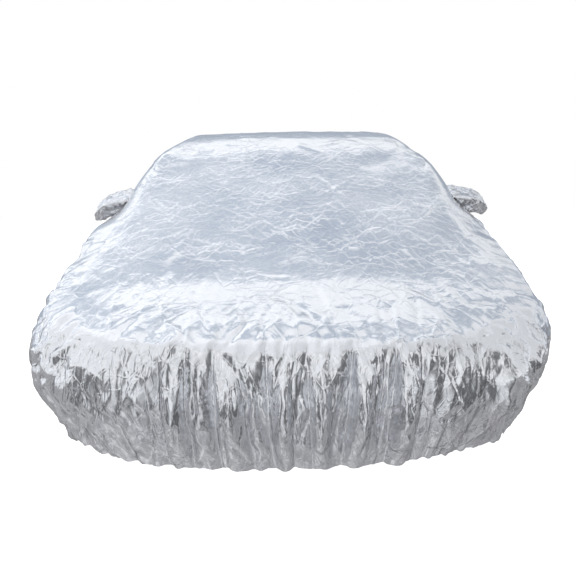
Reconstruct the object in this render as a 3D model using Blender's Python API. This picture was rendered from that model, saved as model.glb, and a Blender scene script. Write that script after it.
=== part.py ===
"""A loose silver cover for a four-door saloon car: one hollow sheet, open below, and two door-mirror pockets.

Metres, +Z up.  The front faces -Y.  Every size below is measured from the tip of the nose (y = 0), the middle
of the car (x = 0) and the ground (z = 0).  At the end the pieces are moved so that the underside of the roof,
on which the cover hangs, is the origin.
"""

from collections import namedtuple

import bmesh
import bpy
import numpy as np
from mathutils import Vector

CLOTH = 0.002  # thickness of the coated cloth
SEAM_GAP = 0.0004  # a pocket's mouth stands this far off the sheet
ROOF_REST_Y = 2.60  # the middle of the roof

# The sheet's grid: columns run across the bonnet and down the front, rows run along the car.
COLUMNS_ON_TOP = 58
ROWS_ON_TOP = 28
ROWS_DOWN_WALL = 6
FRONT_CROWDING = 1.4  # above 1, the rows lie closer together towards the front
REAR_CROWDING = 1.45  # the same towards the rear

# In plan each level of the wall is a rounded box; its corners are parts of a superellipse.
ROUNDNESS = 2.4
CORNER_SHARE = 0.5 ** (1 / ROUNDNESS)  # where the front edge of the grid ends and the side begins

Level = namedtuple("Level", "drop nose_y front_corner half_width rear_corner tail_y")
LEVELS = (  # from the shoulder, where top and wall meet, down to the hem
    Level(drop=0.00, nose_y=0.056, front_corner=0.62, half_width=0.880, rear_corner=0.42, tail_y=4.545),
    Level(drop=0.12, nose_y=0.026, front_corner=0.57, half_width=0.905, rear_corner=0.42, tail_y=4.585),
    Level(drop=0.28, nose_y=0.014, front_corner=0.53, half_width=0.915, rear_corner=0.42, tail_y=4.605),
    Level(drop=0.50, nose_y=0.000, front_corner=0.54, half_width=0.904, rear_corner=0.43, tail_y=4.620),
    Level(drop=0.74, nose_y=0.030, front_corner=0.58, half_width=0.866, rear_corner=0.45, tail_y=4.590),
    Level(drop=1.00, nose_y=0.105, front_corner=0.61, half_width=0.815, rear_corner=0.50, tail_y=4.520),
)

Station = namedtuple("Station", "y ridge shoulder flat softness spread")
STATIONS = (  # ridge: height on the middle line; shoulder: the wall's top; flat: level share across
    Station(y=0.03, ridge=0.600, shoulder=0.594, flat=0.50, softness=0.80, spread=0.00),
    Station(y=0.08, ridge=0.638, shoulder=0.600, flat=0.54, softness=0.80, spread=0.00),
    Station(y=0.15, ridge=0.660, shoulder=0.614, flat=0.56, softness=0.80, spread=0.00),
    Station(y=0.35, ridge=0.714, shoulder=0.660, flat=0.58, softness=0.80, spread=0.00),
    Station(y=0.60, ridge=0.782, shoulder=0.736, flat=0.60, softness=0.80, spread=0.00),
    Station(y=0.85, ridge=0.868, shoulder=0.818, flat=0.62, softness=0.80, spread=0.00),
    Station(y=1.10, ridge=0.962, shoulder=0.898, flat=0.70, softness=0.60, spread=0.02),
    Station(y=1.45, ridge=1.098, shoulder=0.975, flat=0.79, softness=0.46, spread=0.05),
    Station(y=1.80, ridge=1.238, shoulder=0.984, flat=0.84, softness=0.34, spread=0.07),
    Station(y=2.05, ridge=1.340, shoulder=0.990, flat=0.81, softness=0.32, spread=0.07),
    Station(y=2.30, ridge=1.430, shoulder=0.990, flat=0.75, softness=0.30, spread=0.07),
    Station(y=2.55, ridge=1.482, shoulder=0.988, flat=0.70, softness=0.30, spread=0.07),
    Station(y=2.90, ridge=1.494, shoulder=0.990, flat=0.68, softness=0.30, spread=0.07),
    Station(y=3.20, ridge=1.456, shoulder=1.000, flat=0.69, softness=0.34, spread=0.07),
    Station(y=3.55, ridge=1.318, shoulder=1.006, flat=0.72, softness=0.44, spread=0.05),
    Station(y=3.90, ridge=1.166, shoulder=1.004, flat=0.68, softness=0.60, spread=0.02),
    Station(y=4.20, ridge=1.096, shoulder=0.990, flat=0.58, softness=0.80, spread=0.00),
    Station(y=4.45, ridge=1.056, shoulder=0.962, flat=0.54, softness=0.80, spread=0.00),
    Station(y=4.62, ridge=0.950, shoulder=0.935, flat=0.50, softness=0.80, spread=0.00),
)

CROWN = 0.04  # share of its height above the shoulder by which the top falls off across its level part
CREASE_FADE = 0.3  # share of the drop over which the creases of the top die out

Hem = namedtuple("Hem", "round height")
HEM = (  # height of the hem by the way round from the middle of the nose, left negative
    Hem(round=-3.30, height=0.242),
    Hem(round=-2.20, height=0.235),
    Hem(round=-1.30, height=0.240),
    Hem(round=-0.95, height=0.252),
    Hem(round=-0.72, height=0.244),
    Hem(round=-0.40, height=0.234),
    Hem(round=0.00, height=0.238),
    Hem(round=0.30, height=0.244),
    Hem(round=0.60, height=0.252),
    Hem(round=0.95, height=0.262),
    Hem(round=1.40, height=0.244),
    Hem(round=2.20, height=0.238),
    Hem(round=3.30, height=0.242),
)

Fold = namedtuple("Fold", "top hem depth width start")
FRONT_FOLDS = (  # troughs down the front by the way round at top and hem; start: share of the drop
    Fold(top=-1.10, hem=-0.88, depth=0.030, width=0.060, start=0.25),
    Fold(top=-0.94, hem=-0.70, depth=0.022, width=0.045, start=0.20),
    Fold(top=-0.62, hem=-0.58, depth=0.020, width=0.040, start=0.50),
    Fold(top=-0.425, hem=-0.430, depth=0.034, width=0.030, start=0.06),
    Fold(top=-0.340, hem=-0.330, depth=0.034, width=0.026, start=-0.06),
    Fold(top=-0.240, hem=-0.225, depth=0.044, width=0.030, start=-0.10),
    Fold(top=-0.160, hem=-0.115, depth=0.030, width=0.026, start=0.10),
    Fold(top=-0.072, hem=-0.045, depth=0.044, width=0.028, start=-0.12),
    Fold(top=0.000, hem=0.012, depth=0.026, width=0.022, start=-0.12),
    Fold(top=0.055, hem=0.070, depth=0.036, width=0.024, start=-0.14),
    Fold(top=0.124, hem=0.122, depth=0.028, width=0.024, start=-0.10),
    Fold(top=0.200, hem=0.165, depth=0.054, width=0.029, start=-0.12),
    Fold(top=0.275, hem=0.240, depth=0.028, width=0.028, start=-0.06),
    Fold(top=0.350, hem=0.315, depth=0.050, width=0.028, start=-0.10),
    Fold(top=0.435, hem=0.420, depth=0.036, width=0.032, start=-0.04),
    Fold(top=0.560, hem=0.520, depth=0.022, width=0.040, start=0.45),
    Fold(top=0.690, hem=0.640, depth=0.022, width=0.040, start=0.40),
    Fold(top=0.950, hem=0.770, depth=0.024, width=0.046, start=0.20),
    Fold(top=1.140, hem=0.940, depth=0.030, width=0.060, start=0.16),
    Fold(top=1.250, hem=1.150, depth=0.020, width=0.300, start=0.05),  # the tucked-in right corner
)
FOLD_GROWTH = 0.34  # share of the drop over which a fold grows to its full depth
FOLD_FADE_FROM = 0.6  # share of the drop below which a fold gets shallower again
FOLD_FADE = 0.4  # share of its depth that it has lost at the hem
FOLD_REACH_ON_TOP = 0.35  # metres over the shoulder for each unit by which a fold's start is negative

PLAIN_FOLDS = 40  # gathers round the sides and the rear, spaced unevenly by the seed
PLAIN_FOLD_SEED = 11
PLAIN_FOLDS_FROM = 1.30  # way round at which the plain gathers begin
PLAIN_FOLDS_TO = 6.35
PLAIN_FOLD_SHIFT = (0.2, 0.8)  # least and most, in shares of the pitch
PLAIN_FOLD_LEAN = (-0.04, 0.04)
PLAIN_FOLD_DEPTH = (0.006, 0.018)
PLAIN_FOLD_WIDTH = (0.045, 0.070)
PLAIN_FOLD_START = (0.30, 0.62)

Crease = namedtuple("Crease", "x0 y0 x1 y1 height width")
TOP_CREASES = (  # ridges (height above 0) and troughs that run over the bonnet, windscreen and roof
    Crease(x0=0.70, y0=1.48, x1=0.42, y1=1.16, height=0.012, width=0.050),
    Crease(x0=-0.70, y0=1.48, x1=-0.50, y1=1.10, height=0.010, width=0.050),
    Crease(x0=-0.62, y0=1.62, x1=-0.78, y1=0.72, height=0.010, width=0.045),
    Crease(x0=0.62, y0=1.60, x1=0.80, y1=0.70, height=0.010, width=0.045),
    Crease(x0=-0.30, y0=0.86, x1=-0.62, y1=0.30, height=0.008, width=0.040),
    Crease(x0=-0.52, y0=1.00, x1=-0.76, y1=0.50, height=-0.008, width=0.040),
    Crease(x0=0.46, y0=0.90, x1=0.66, y1=0.34, height=0.008, width=0.040),
    Crease(x0=0.10, y0=0.52, x1=0.14, y1=0.12, height=0.006, width=0.034),
    Crease(x0=-0.12, y0=0.56, x1=-0.20, y1=0.12, height=0.006, width=0.034),
    Crease(x0=-0.66, y0=3.95, x1=-0.40, y1=3.50, height=0.010, width=0.060),
    Crease(x0=0.66, y0=3.95, x1=0.42, y1=3.45, height=0.010, width=0.060),
    Crease(x0=0.18, y0=4.40, x1=0.24, y1=3.90, height=0.007, width=0.060),
)

Pocket = namedtuple("Pocket", "name side columns rows reach droop")
POCKETS = (  # columns and rows of the sheet's grid at the mouth; how far the bag stands out and hangs down
    Pocket(name="mirror_pocket_left", side=-1, columns=(1, 4), rows=(10, 11), reach=0.140, droop=0.062),
    Pocket(name="mirror_pocket_right", side=1, columns=(1, 4), rows=(10, 11), reach=0.140, droop=0.042),
)
POCKET_RISE = 0.1  # of the slope at its mouth, the share that a bag keeps as it stands out
MOUTH_STEP = 0.045  # the longest edge round a pocket's mouth
DROOP_POWER = 1.8  # above 1, a bag stands straight out at its mouth and bends down further out
UPRIGHT_FROM = 0.4  # share of the reach beyond which a bag's rings stand square to its way out
TIP_POINT = 0.002  # the middle of a bag's tip stands this far out of its last ring
Ring = namedtuple("Ring", "out width height")
POCKET_RINGS = (  # share of the reach, and the bag's size there against its mouth
    Ring(out=0.10, width=1.00, height=0.97),
    Ring(out=0.30, width=1.03, height=0.87),
    Ring(out=0.54, width=1.02, height=0.82),
    Ring(out=0.76, width=0.92, height=0.76),
    Ring(out=0.92, width=0.70, height=0.56),
    Ring(out=1.00, width=0.34, height=0.24),
)


def column(table, name):
    return np.array([getattr(row, name) for row in table], float)


def through(at, values, x):
    """A smooth curve through the rows of a table (cubic pieces with the slopes of the neighbours)."""
    slopes = np.gradient(values, at)
    x = np.clip(x, at[0], at[-1])
    k = np.clip(np.searchsorted(at, x) - 1, 0, len(at) - 2)
    span = at[k + 1] - at[k]
    t = (x - at[k]) / span
    rise = values[k + 1] - values[k]
    lift = (slopes[k] * span - rise) * (1 - t) + (rise - slopes[k + 1] * span) * t
    return values[k] + rise * t + lift * t * (1 - t)


def along_car(name, y):
    return through(column(STATIONS, "y"), column(STATIONS, name), y)


def down_wall(name, drop):
    return through(column(LEVELS, "drop"), column(LEVELS, name), drop)


def smooth_step(low, high, x):
    t = np.clip((x - low) / (high - low), 0, 1)
    return t * t * (3 - 2 * t)


def smooth_min(a, b, k):
    h = np.clip(1 - np.abs(a - b) / k, 0, 1)
    return np.minimum(a, b) - h * h * k / 4


def bow(share):
    """How far a rounded corner has come round, from 0 in the middle of an end to 1 at the side."""
    return 1 - np.clip(1 - np.abs(share) ** ROUNDNESS, 0, 1) ** (1 / ROUNDNESS)


def end_y(drop, across, rear):
    """y of the nose (or tail) edge at a level, for across from -1 to 1 between the grid's corners."""
    nose, tail = down_wall("nose_y", drop), down_wall("tail_y", drop)
    front = nose + down_wall("front_corner", drop) * bow(across * CORNER_SHARE)
    back = tail - down_wall("rear_corner", drop) * bow(across * CORNER_SHARE)
    return back if rear else front


def side_line(drop, along):
    """(half width, y) of the side edge at a level, for along from 0 at the front corner to 1 at the rear."""
    nose, tail = down_wall("nose_y", drop), down_wall("tail_y", drop)
    front, back = down_wall("front_corner", drop), down_wall("rear_corner", drop)
    first = nose + front * (1 - CORNER_SHARE)
    last = tail - back * (1 - CORNER_SHARE)
    y = first + (last - first) * along
    from_front = np.clip(1 - (y - nose) / front, 0, 1)
    from_back = np.clip(1 - (tail - y) / back, 0, 1)
    inset = np.maximum(from_front, from_back)
    return down_wall("half_width", drop) * (1 - inset**ROUNDNESS) ** (1 / ROUNDNESS), y


def top_height(across, y, side_y):
    """Height of the cloth on top: the shoulder's height, raised towards the middle line."""
    shoulder = along_car("shoulder", side_y)
    flat = along_car("flat", side_y)
    section = smooth_min(
        1 - CROWN * across**2, (1 - np.abs(across)) / (1 - flat), along_car("softness", side_y)
    )
    return shoulder + (along_car("ridge", y) - shoulder) * section


def crossing(crease, x, y):
    """A crease's height at each point: full along its line, soft to its sides and its ends."""
    start = np.array([crease.x0, crease.y0])
    run = np.array([crease.x1, crease.y1]) - start
    length = np.hypot(*run)
    run /= length
    along = ((x - start[0]) * run[0] + (y - start[1]) * run[1]) / length
    off = (x - start[0]) * run[1] - (y - start[1]) * run[0]
    ends = np.clip(4 * along * (1 - along), 0, 1)
    return crease.height * np.exp(-((off / crease.width) ** 2)) * ends


def plain_folds():
    """The gathers of the sides and rear, evenly spread and then shifted at random, with seeded depths."""
    draw = np.random.RandomState(PLAIN_FOLD_SEED)
    pitch = (PLAIN_FOLDS_TO - PLAIN_FOLDS_FROM) / PLAIN_FOLDS
    for side in (-1, 1):
        for k in range(PLAIN_FOLDS):
            top = PLAIN_FOLDS_FROM + pitch * (k + draw.uniform(*PLAIN_FOLD_SHIFT))
            yield Fold(
                top=side * top,
                hem=side * (top + draw.uniform(*PLAIN_FOLD_LEAN)),
                depth=draw.uniform(*PLAIN_FOLD_DEPTH),
                width=draw.uniform(*PLAIN_FOLD_WIDTH),
                start=draw.uniform(*PLAIN_FOLD_START),
            )


def fold_depth(way_round, level):
    depth = np.zeros_like(way_round)
    for fold in (*FRONT_FOLDS, *plain_folds()):
        middle = fold.top + (fold.hem - fold.top) * np.maximum(level, 0)
        grown = smooth_step(fold.start, fold.start + FOLD_GROWTH, level)
        left = 1 - FOLD_FADE * smooth_step(FOLD_FADE_FROM, 1.0, level)
        depth += fold.depth * grown * left * np.exp(-(((way_round - middle) / fold.width) ** 2))
    return depth


def unfolded(i, j):
    """Places of the grid's crossings (i, j), counted from the left and the front, before folds and creases.

    Also their way round from the middle of the nose and their level: the share of the drop on the wall, and
    below 0 on top, where it tells how far in from the shoulder a crossing lies.
    """
    half_i, half_j = COLUMNS_ON_TOP / 2, ROWS_ON_TOP / 2
    from_middle_i, from_middle_j = i - half_i - ROWS_DOWN_WALL, j - half_j - ROWS_DOWN_WALL
    down = np.maximum(np.maximum(np.abs(from_middle_i) - half_i, np.abs(from_middle_j) - half_j), 0)
    drop = down / ROWS_DOWN_WALL
    across = from_middle_i / (half_i + down)
    share = (from_middle_j / (half_j + down) + 1) / 2
    along = 1 - (1 - share**FRONT_CROWDING) ** REAR_CROWDING

    half_width, _ = side_line(drop, along)
    front, back = end_y(drop, across, False), end_y(drop, across, True)
    x = half_width * across
    y = front * (1 - along) + back * along
    shoulder = 0 * drop
    side_y = side_line(shoulder, along)[1]
    shoulder_front, shoulder_back = end_y(shoulder, across, False), end_y(shoulder, across, True)
    top_y = shoulder_front * (1 - along) + shoulder_back * along
    spread = along_car("spread", side_y) * np.sin(np.pi * across)
    top_z = top_height(across + spread, top_y, side_y)
    x = x + half_width * spread

    in_from_edge = np.minimum(np.minimum(y - front, back - y), half_width - np.abs(x)) * (down == 0)
    level = drop - in_from_edge / FOLD_REACH_ON_TOP
    over_side = np.where(from_middle_j > 0, 2 * down_wall("half_width", drop) - np.abs(x), np.abs(x))
    way_round = np.where(x < 0, -1, 1) * (over_side + y - in_from_edge - down_wall("nose_y", drop))
    hem = through(column(HEM, "round"), column(HEM, "height"), way_round)
    z = top_z + (hem - top_z) * drop
    return np.stack((x, y, z), axis=1), way_round, level


def make_sheet():
    """The outer face of the sheet as a grid of quads, and the crossings' numbers along its two ways."""
    total_i = COLUMNS_ON_TOP + 2 * ROWS_DOWN_WALL
    total_j = ROWS_ON_TOP + 2 * ROWS_DOWN_WALL
    sheet = bmesh.new()
    bmesh.ops.create_grid(sheet, x_segments=total_i, y_segments=total_j, size=1.0)
    flat = np.array([v.co[:2] for v in sheet.verts])
    i = np.rint((flat[:, 0] + 1) / 2 * total_i)
    j = np.rint((flat[:, 1] + 1) / 2 * total_j)
    places, way_round, level = unfolded(i, j)
    for vertex, place in zip(sheet.verts, places):
        vertex.co = place
    sheet.normal_update()

    # The creases of the top stand up from it, and the folds sink into it.
    stand = sum(crossing(crease, places[:, 0], places[:, 1]) for crease in TOP_CREASES)
    out = stand * (1 - smooth_step(0.0, CREASE_FADE, level)) - fold_depth(way_round, level)
    for vertex, move_out in zip(sheet.verts, out):
        vertex.co += vertex.normal * move_out
    sheet.normal_update()
    return sheet, {(int(a), int(b)): v for a, b, v in zip(i, j, sheet.verts)}


def mouth_block(pocket):
    """First and last grid line of a pocket's mouth, both ways; columns are counted in from the shoulder."""
    near, far = pocket.columns
    first, last = ROWS_DOWN_WALL + near, ROWS_DOWN_WALL + far
    if pocket.side > 0:
        total = COLUMNS_ON_TOP + 2 * ROWS_DOWN_WALL
        first, last = total - last, total - first
    return first, last, ROWS_DOWN_WALL + pocket.rows[0], ROWS_DOWN_WALL + pocket.rows[1]


def mouth_loop(crossings, pocket):
    """Places and normals round a pocket's mouth, in order: the crossings there, with long edges divided."""
    first, last, front, back = mouth_block(pocket)
    numbers = [(i, front) for i in range(first, last)]
    numbers += [(last, j) for j in range(front, back)]
    numbers += [(i, back) for i in range(last, first, -1)]
    numbers += [(first, j) for j in range(back, front, -1)]
    corners = [crossings[number] for number in numbers]
    loop = []
    for here, after in zip(corners, corners[1:] + corners[:1]):
        steps = int(np.ceil((after.co - here.co).length / MOUTH_STEP))
        for k in range(steps):
            loop.append((here.co.lerp(after.co, k / steps), here.normal.lerp(after.normal, k / steps)))
    return loop


def open_mouth(sheet, crossings, pocket):
    """Takes the cells inside a pocket's mouth out of the sheet."""
    first, last, front, back = mouth_block(pocket)
    inside = set()
    for i in range(first, last):
        for j in range(front, back):
            cell = (crossings[i, j], crossings[i + 1, j], crossings[i + 1, j + 1], crossings[i, j + 1])
            inside.add(next(f for f in cell[0].link_faces if set(f.verts) == set(cell)))
    bmesh.ops.delete(sheet, geom=list(inside), context="FACES")


def make_pocket(loop, pocket):
    """A bag lofted from its mouth: the loop is carried out, turns upright, shrinks, and closes at the tip."""
    bag = bmesh.new()
    middle = sum((place for place, _ in loop), Vector()) / len(loop)
    out = sum((normal for _, normal in loop), Vector())
    out.z *= POCKET_RISE
    out.normalize()
    rings = [[bag.verts.new(place + normal * SEAM_GAP) for place, normal in loop]]
    for ring in POCKET_RINGS:
        centre = middle + out * (ring.out * pocket.reach)
        centre.z -= pocket.droop * ring.out**DROOP_POWER
        corners = []
        for place, _ in loop:
            off = place - middle
            off -= out * (off.dot(out) * min(1, ring.out / UPRIGHT_FROM))
            corners.append(bag.verts.new(centre + off * Vector((ring.height, ring.width, ring.height))))
        rings.append(corners)
    for inner, outer in zip(rings, rings[1:]):
        for k in range(len(loop)):
            bag.faces.new((inner[k], inner[k - 1], outer[k - 1], outer[k]))
    tip = bag.verts.new(sum((corner.co for corner in rings[-1]), Vector()) / len(loop) + out * TIP_POINT)
    for k in range(len(loop)):
        bag.faces.new((rings[-1][k], rings[-1][k - 1], tip))
    bmesh.ops.recalc_face_normals(bag, faces=bag.faces)
    return bag


def coated_cloth(name, colour, roughness, metallic):
    material = bpy.data.materials.new(name)
    material.use_nodes = True
    shader = material.node_tree.nodes["Principled BSDF"]
    shader.inputs["Base Color"].default_value = (*colour, 1)
    shader.inputs["Roughness"].default_value = roughness
    shader.inputs["Metallic"].default_value = metallic
    material.diffuse_color = (*colour, 1)
    return material


def place_piece(name, bm, material, origin):
    """Turns a bare face into a named object, moved to the roof rest and thickened inwards."""
    bmesh.ops.triangulate(bm, faces=bm.faces, quad_method="SHORT_EDGE")
    bmesh.ops.translate(bm, verts=bm.verts, vec=-origin)
    mesh = bpy.data.meshes.new(name)
    bm.to_mesh(mesh)
    bm.free()
    mesh.shade_smooth()
    mesh.materials.append(material)
    piece = bpy.data.objects.new(name, mesh)
    bpy.context.collection.objects.link(piece)
    thickness = piece.modifiers.new("cloth thickness", "SOLIDIFY")
    thickness.thickness = CLOTH
    thickness.offset = -1
    return piece


def build():
    for old in list(bpy.data.objects):
        bpy.data.objects.remove(old)
    sheet, crossings = make_sheet()
    bags = [make_pocket(mouth_loop(crossings, pocket), pocket) for pocket in POCKETS]
    for pocket in POCKETS:
        open_mouth(sheet, crossings, pocket)
    roof_rest = Vector((0, ROOF_REST_Y, along_car("ridge", ROOF_REST_Y) - CLOTH))
    silver = coated_cloth("silver_coated_cloth", colour=(0.72, 0.74, 0.78), roughness=0.38, metallic=0.75)
    place_piece("cover_body", sheet, silver, roof_rest)
    for pocket, bag in zip(POCKETS, bags):
        place_piece(pocket.name, bag, silver, roof_rest)


build()
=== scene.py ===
"""A loose silver car cover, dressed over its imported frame.

Metres, in the part's own frame: the front faces -Y, +Z is up, and the origin lies under the middle
of the roof.
"""

import math
from collections import namedtuple

import bmesh
import bpy
import numpy as np
from mathutils import Matrix, Vector


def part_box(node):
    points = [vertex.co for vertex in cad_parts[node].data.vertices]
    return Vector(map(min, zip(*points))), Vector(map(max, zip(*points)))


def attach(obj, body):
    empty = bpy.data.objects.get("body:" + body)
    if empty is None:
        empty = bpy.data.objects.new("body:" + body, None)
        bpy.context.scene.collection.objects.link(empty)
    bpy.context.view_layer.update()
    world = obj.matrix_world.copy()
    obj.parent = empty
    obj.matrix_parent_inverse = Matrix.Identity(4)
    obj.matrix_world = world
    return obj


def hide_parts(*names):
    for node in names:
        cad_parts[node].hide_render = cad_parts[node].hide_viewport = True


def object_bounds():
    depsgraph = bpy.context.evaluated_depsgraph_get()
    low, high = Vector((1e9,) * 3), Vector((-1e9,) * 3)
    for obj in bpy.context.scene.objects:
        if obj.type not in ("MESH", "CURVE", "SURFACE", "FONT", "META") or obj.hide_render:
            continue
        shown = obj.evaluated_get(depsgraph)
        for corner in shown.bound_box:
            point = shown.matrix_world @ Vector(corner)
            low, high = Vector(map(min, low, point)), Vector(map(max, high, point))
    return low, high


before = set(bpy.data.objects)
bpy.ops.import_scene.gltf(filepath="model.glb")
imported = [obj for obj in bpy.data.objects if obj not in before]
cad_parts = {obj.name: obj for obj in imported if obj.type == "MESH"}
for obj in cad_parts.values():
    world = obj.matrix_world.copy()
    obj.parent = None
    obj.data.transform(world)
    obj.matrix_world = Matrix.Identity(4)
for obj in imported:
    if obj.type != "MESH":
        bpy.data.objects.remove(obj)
cad_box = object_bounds()

# ---------------------------------------------------------------------------------------------------------
# Cover body.  One sheet of silver-coated taffeta, sewn to the shape of a four-door car.  It is drawn tight
# from the roof's front edge to the bonnet, breaks over the nose, and is gathered round the bumpers by an
# elastic hem.  Its shape is measured from the nose's tip (y), the middle (x) and the ground (z).

ROOF_REST = np.array((0, 2.60, 1.48597))  # the frame's origin, from the nose and the ground
COLUMNS_ON_TOP = 250
ROWS_ON_TOP = 200
ROWS_DOWN_WALL = 40
ROWS_BACK = ((0, 0), (0.05, 0.02), (0.58, 0.50), (0.93, 0.93), (1, 1))  # share of rows, share of length
ROUNDNESS = 2.4  # power of the corners' curve in plan, where 2 gives a quarter of an ellipse
CORNER_SHARE = 0.5 ** (1 / ROUNDNESS)  # share of a corner's size at which an end turns into a side
CROWN = 0.04  # share of its height that the top loses from the middle to the shoulder

Level = namedtuple("Level", "drop nose_y front_corner half_width rear_corner tail_y")
LEVELS = (  # from the shoulder, where top and wall meet, down to the hem
    Level(drop=0.00, nose_y=0.056, front_corner=0.62, half_width=0.880, rear_corner=0.42, tail_y=4.545),
    Level(drop=0.12, nose_y=0.032, front_corner=0.57, half_width=0.905, rear_corner=0.42, tail_y=4.585),
    Level(drop=0.28, nose_y=0.009, front_corner=0.53, half_width=0.915, rear_corner=0.42, tail_y=4.605),
    Level(drop=0.50, nose_y=0.000, front_corner=0.54, half_width=0.904, rear_corner=0.43, tail_y=4.620),
    Level(drop=0.74, nose_y=0.030, front_corner=0.58, half_width=0.866, rear_corner=0.45, tail_y=4.590),
    Level(drop=1.00, nose_y=0.105, front_corner=0.61, half_width=0.815, rear_corner=0.50, tail_y=4.520),
)

Station = namedtuple("Station", "y ridge shoulder flat softness spread")
STATIONS = (  # ridge: height on the middle line; shoulder: the wall's top; flat: level share of the width;
    # softness: how rounded the level part's edge is; spread: how far the columns crowd to that edge
    Station(y=0.03, ridge=0.587, shoulder=0.585, flat=0.50, softness=0.80, spread=0.00),
    Station(y=0.08, ridge=0.631, shoulder=0.600, flat=0.54, softness=0.80, spread=0.00),
    Station(y=0.15, ridge=0.659, shoulder=0.614, flat=0.56, softness=0.80, spread=0.00),
    Station(y=0.35, ridge=0.714, shoulder=0.660, flat=0.58, softness=0.80, spread=0.00),
    Station(y=0.60, ridge=0.780, shoulder=0.736, flat=0.60, softness=0.80, spread=0.00),
    Station(y=0.85, ridge=0.868, shoulder=0.818, flat=0.62, softness=0.80, spread=0.00),
    Station(y=1.10, ridge=0.962, shoulder=0.898, flat=0.70, softness=0.60, spread=0.02),
    Station(y=1.45, ridge=1.098, shoulder=0.975, flat=0.79, softness=0.46, spread=0.05),
    Station(y=1.80, ridge=1.239, shoulder=0.984, flat=0.84, softness=0.34, spread=0.07),
    Station(y=2.05, ridge=1.3425, shoulder=0.990, flat=0.81, softness=0.32, spread=0.07),
    Station(y=2.30, ridge=1.430, shoulder=0.990, flat=0.75, softness=0.30, spread=0.07),
    Station(y=2.55, ridge=1.482, shoulder=0.988, flat=0.70, softness=0.30, spread=0.07),
    Station(y=2.90, ridge=1.494, shoulder=0.990, flat=0.68, softness=0.30, spread=0.07),
    Station(y=3.20, ridge=1.456, shoulder=1.000, flat=0.69, softness=0.34, spread=0.07),
    Station(y=3.55, ridge=1.318, shoulder=1.006, flat=0.72, softness=0.44, spread=0.05),
    Station(y=3.90, ridge=1.166, shoulder=1.004, flat=0.68, softness=0.60, spread=0.02),
    Station(y=4.20, ridge=1.096, shoulder=0.990, flat=0.58, softness=0.80, spread=0.00),
    Station(y=4.45, ridge=1.056, shoulder=0.962, flat=0.54, softness=0.80, spread=0.00),
    Station(y=4.62, ridge=0.950, shoulder=0.935, flat=0.50, softness=0.80, spread=0.00),
)

Hem = namedtuple("Hem", "round height")
HEM = (  # height of the hem by the way round from the middle of the nose, left negative
    Hem(round=-3.30, height=0.242),
    Hem(round=-2.20, height=0.235),
    Hem(round=-1.30, height=0.240),
    Hem(round=-0.95, height=0.252),
    Hem(round=-0.72, height=0.244),
    Hem(round=-0.40, height=0.234),
    Hem(round=0.00, height=0.238),
    Hem(round=0.30, height=0.244),
    Hem(round=0.60, height=0.252),
    Hem(round=0.95, height=0.262),
    Hem(round=1.40, height=0.244),
    Hem(round=2.20, height=0.238),
    Hem(round=3.30, height=0.242),
)
HEM_RIPPLE = 0.005  # the elastic draws the edge a little up and down
SLOW_RIPPLES = (31, 17)  # radians in a metre of the hem; each makes the other uneven
SLOW_SHARE = 0.4
QUICK_RIPPLES = ((83, 0.5), (149, 0.3))  # radians in a metre, share
LEVEL_REACH = 0.35  # on top, one level is this far in from the shoulder
HUNG_STRAIGHT = (0.9, 1.4)  # way round over which the lines down the wall turn from fanned to upright


def column(table, name):
    return np.array([getattr(row, name) for row in table], float)


def through(at, values, x):
    """A smooth curve through the rows of a table (cubic pieces with the slopes of the neighbours)."""
    slopes = np.gradient(values, at)
    x = np.clip(x, at[0], at[-1])
    k = np.clip(np.searchsorted(at, x) - 1, 0, len(at) - 2)
    span = at[k + 1] - at[k]
    t = (x - at[k]) / span
    rise = values[k + 1] - values[k]
    lift = (slopes[k] * span - rise) * (1 - t) + (rise - slopes[k + 1] * span) * t
    return values[k] + rise * t + lift * t * (1 - t)


def along_car(name, y):
    return through(column(STATIONS, "y"), column(STATIONS, name), y)


def down_wall(name, drop):
    return through(column(LEVELS, "drop"), column(LEVELS, name), drop)


def smooth_step(low, high, x):
    t = np.clip((x - low) / (high - low), 0, 1)
    return t * t * (3 - 2 * t)


def smooth_min(a, b, blend):
    near = np.clip(1 - np.abs(a - b) / blend, 0, 1)
    return np.minimum(a, b) - near * near * blend / 4


def bow(share):
    """How far the corners' curve has gone back at a share of its width."""
    return 1 - np.clip(1 - np.abs(share) ** ROUNDNESS, 0, 1) ** (1 / ROUNDNESS)


def front_y(drop, across):
    return down_wall("nose_y", drop) + down_wall("front_corner", drop) * bow(across * CORNER_SHARE)


def back_y(drop, across):
    return down_wall("tail_y", drop) - down_wall("rear_corner", drop) * bow(across * CORNER_SHARE)


def side_line(drop, along):
    """The side's distance from the middle, and its y, at a share of the way from corner to corner."""
    nose = down_wall("nose_y", drop)
    tail = down_wall("tail_y", drop)
    front = down_wall("front_corner", drop)
    back = down_wall("rear_corner", drop)
    first = nose + front * (1 - CORNER_SHARE)
    last = tail - back * (1 - CORNER_SHARE)
    y = first + (last - first) * along
    from_front = np.clip(1 - (y - nose) / front, 0, 1)
    from_back = np.clip(1 - (tail - y) / back, 0, 1)
    inset = np.maximum(from_front, from_back)
    return down_wall("half_width", drop) * (1 - inset**ROUNDNESS) ** (1 / ROUNDNESS), y


def top_height(across, y, side_y):
    shoulder = along_car("shoulder", side_y)
    crowned = 1 - CROWN * across**2
    falling = (1 - np.abs(across)) / (1 - along_car("flat", side_y))
    section = smooth_min(crowned, falling, along_car("softness", side_y))
    return shoulder + (along_car("ridge", y) - shoulder) * section


def hem_height(way_round):
    height = through(column(HEM, "round"), column(HEM, "height"), way_round)
    slow = np.sin(SLOW_RIPPLES[0] * way_round) * np.sin(SLOW_RIPPLES[1] * way_round + 1)
    quick = sum(share * np.sin(turns * way_round) for turns, share in QUICK_RIPPLES)
    return height + HEM_RIPPLE * (SLOW_SHARE * slow + quick)


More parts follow.
